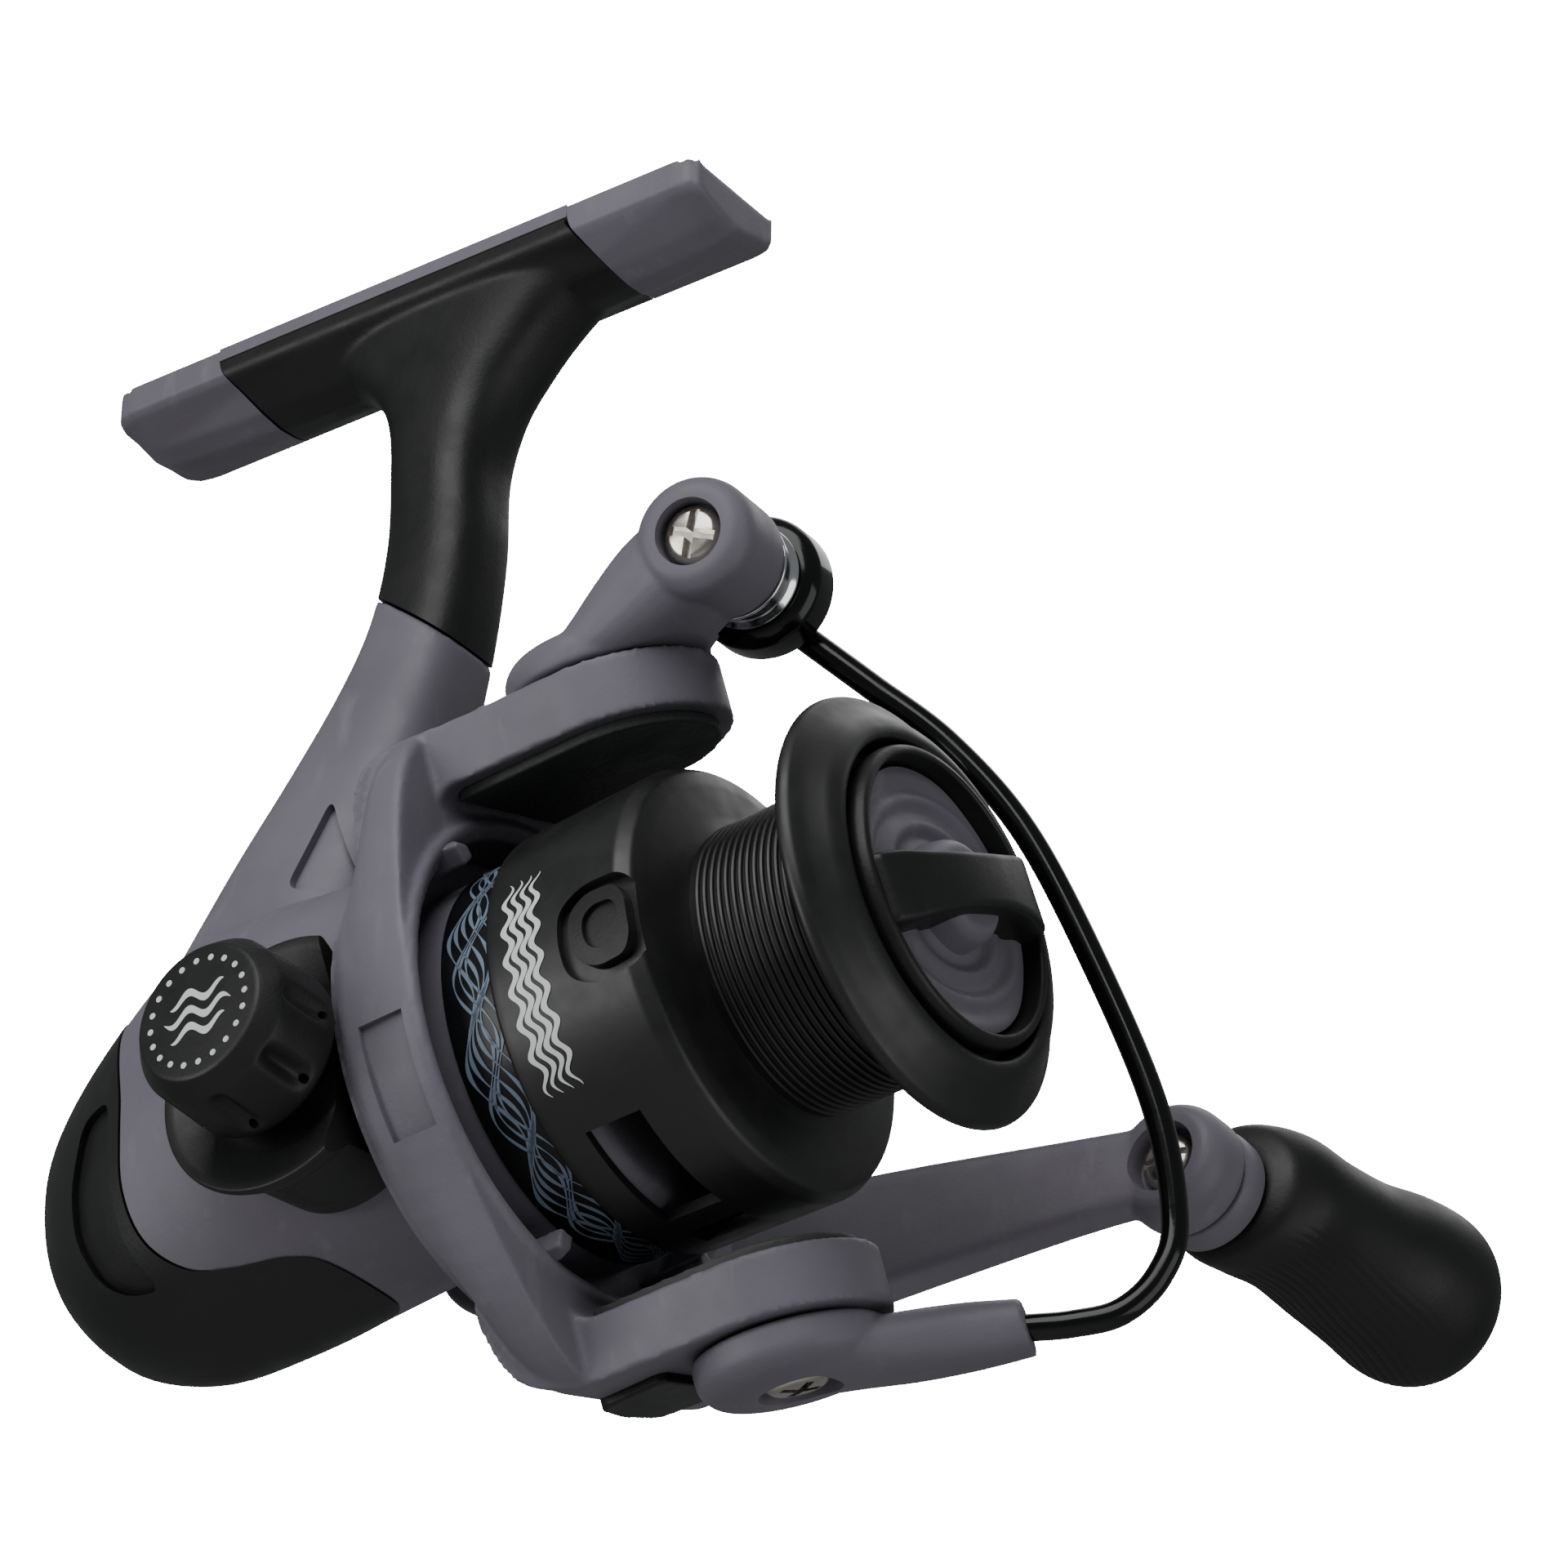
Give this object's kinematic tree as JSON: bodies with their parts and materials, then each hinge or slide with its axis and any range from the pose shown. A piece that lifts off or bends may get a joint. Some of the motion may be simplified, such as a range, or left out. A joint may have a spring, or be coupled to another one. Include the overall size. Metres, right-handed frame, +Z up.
{
  "type": "spinning reel",
  "caption": "Open-face spinning fishing reel with a folding wire bail, a turning rotor, a sliding spool with a front drag knob, and a side crank with a rubber knob.",
  "frame": {"origin": "centre of the flat seat on top of the foot, where the reel meets the rod's reel seat", "axes": "+X forwards towards the spool and the rod tip, +Y towards the crank handle's side, +Z up out of the foot's seat towards the rod"},
  "size_m": [0.1019, 0.1194, 0.1218],
  "materials": {
    "grey_plastic": "fine matte moulding texture",
    "black_plastic": "matte, soft sheen",
    "black_metal": "satin black",
    "black_rubber": "matte rubber",
    "steel": "nickel plated",
    "chrome": "polished",
    "brass": "machined",
    "zinc": "cast, greased",
    "felt": "oiled felt",
    "band_film": "black film printed with pale waves"
  },
  "bodies": {
    "frame": {"body_housing": "grey_plastic", "side_plate": "grey_plastic", "rear_cover": "black_plastic", "stem_sleeve": "black_plastic", "bearing_collar": "black_plastic", "drive_bearing_left": "steel", "drive_bearing_right": "steel", "pinion_bearing": "steel", "one_way_clutch": "zinc", "clutch_plate": "brass", "guide_rod": "steel", "oscillation_pin": "steel"},
    "crank": {"drive_shaft": "steel", "drive_gear": "zinc", "drive_cog": "zinc", "crank_cap": "black_plastic", "cap_screw": "steel", "crank_arm": "grey_plastic", "knob_screw": "steel"},
    "knob": {"handle_knob": "black_rubber", "knob_collar": "grey_plastic"},
    "oscillation": {"oscillation_gear": "zinc"},
    "rotor": {"rotor": "grey_plastic", "rotor_band": "band_film", "rotor_nut": "zinc", "pinion": "brass", "bail_arm_lining": "black_plastic", "lever_arm_lining": "black_plastic", "bail_arm_cover": "black_plastic", "lever_arm_cover": "black_plastic", "bail_pivot_screw": "steel", "lever_pivot_screw": "steel"},
    "bail": {"bail_arm": "grey_plastic", "bail_lever": "grey_plastic", "bail_wire": "black_plastic", "bail_cone": "black_plastic", "roller_screw": "steel", "roller_bush": "brass"},
    "roller": {"line_roller": "chrome"},
    "shaft": {"main_shaft": "steel", "shaft_slider": "zinc", "spool_seat": "brass", "drag_disc_1": "steel", "drag_disc_2": "steel", "drag_disc_3": "steel"},
    "spool": {"spool": "black_metal", "line_clip": "black_plastic", "click_ratchet": "zinc", "drag_felt_1": "felt", "drag_felt_2": "felt", "drag_felt_3": "felt", "washer_ring": "steel"},
    "drag_knob": {"drag_knob": "black_plastic", "knob_insert_upper": "grey_plastic", "knob_insert_lower": "grey_plastic", "drag_nut": "brass"}
  },
  "joints": [
    {"name": "crank_turn", "type": "hinge", "parent": "frame", "child": "crank", "pos_m": [0.00379, 0, -0.09348], "axis": [0, 1, 0], "continuous": true},
    {"name": "knob_spin", "type": "hinge", "parent": "crank", "child": "knob", "pos_m": [0.05015, 0.048, -0.08533], "axis": [0, 1, 0], "continuous": true},
    {"name": "oscillation_spin", "type": "hinge", "parent": "frame", "child": "oscillation", "pos_m": [-0.00885, 0.008, -0.0936], "axis": [0, 1, 0], "continuous": true},
    {"name": "rotor_spin", "type": "hinge", "parent": "frame", "child": "rotor", "pos_m": [0.0549, 0, -0.0846], "axis": [0.996, 0, 0.0889], "continuous": true},
    {"name": "bail_flip", "type": "hinge", "parent": "rotor", "child": "bail", "pos_m": [0.03229, 0, -0.08662], "axis": [0.0835, 0.342, -0.936], "range_deg": [0, 110]},
    {"name": "roller_spin", "type": "hinge", "parent": "bail", "child": "roller", "pos_m": [0.04274, -0.00933, -0.05033], "axis": [-0.2025, 0.9486, 0.2431], "continuous": true},
    {"name": "spool_slide", "type": "slide", "parent": "frame", "child": "shaft", "axis": [0.996, 0, 0.0889], "range_m": [-0.008, 0.0006]},
    {"name": "spool_drag", "type": "hinge", "parent": "shaft", "child": "spool", "pos_m": [0.0549, 0, -0.0846], "axis": [0.996, 0, 0.0889], "continuous": true},
    {"name": "drag_knob_turn", "type": "hinge", "parent": "shaft", "child": "drag_knob", "pos_m": [0.0549, 0, -0.0846], "axis": [0.996, 0, 0.0889], "range_deg": [-540, 180]}
  ],
  "couplings": [
    {"joint": "rotor_spin", "follows": "crank_turn", "ratio": -5},
    {"joint": "oscillation_spin", "follows": "crank_turn", "ratio": -0.5}
  ]
}
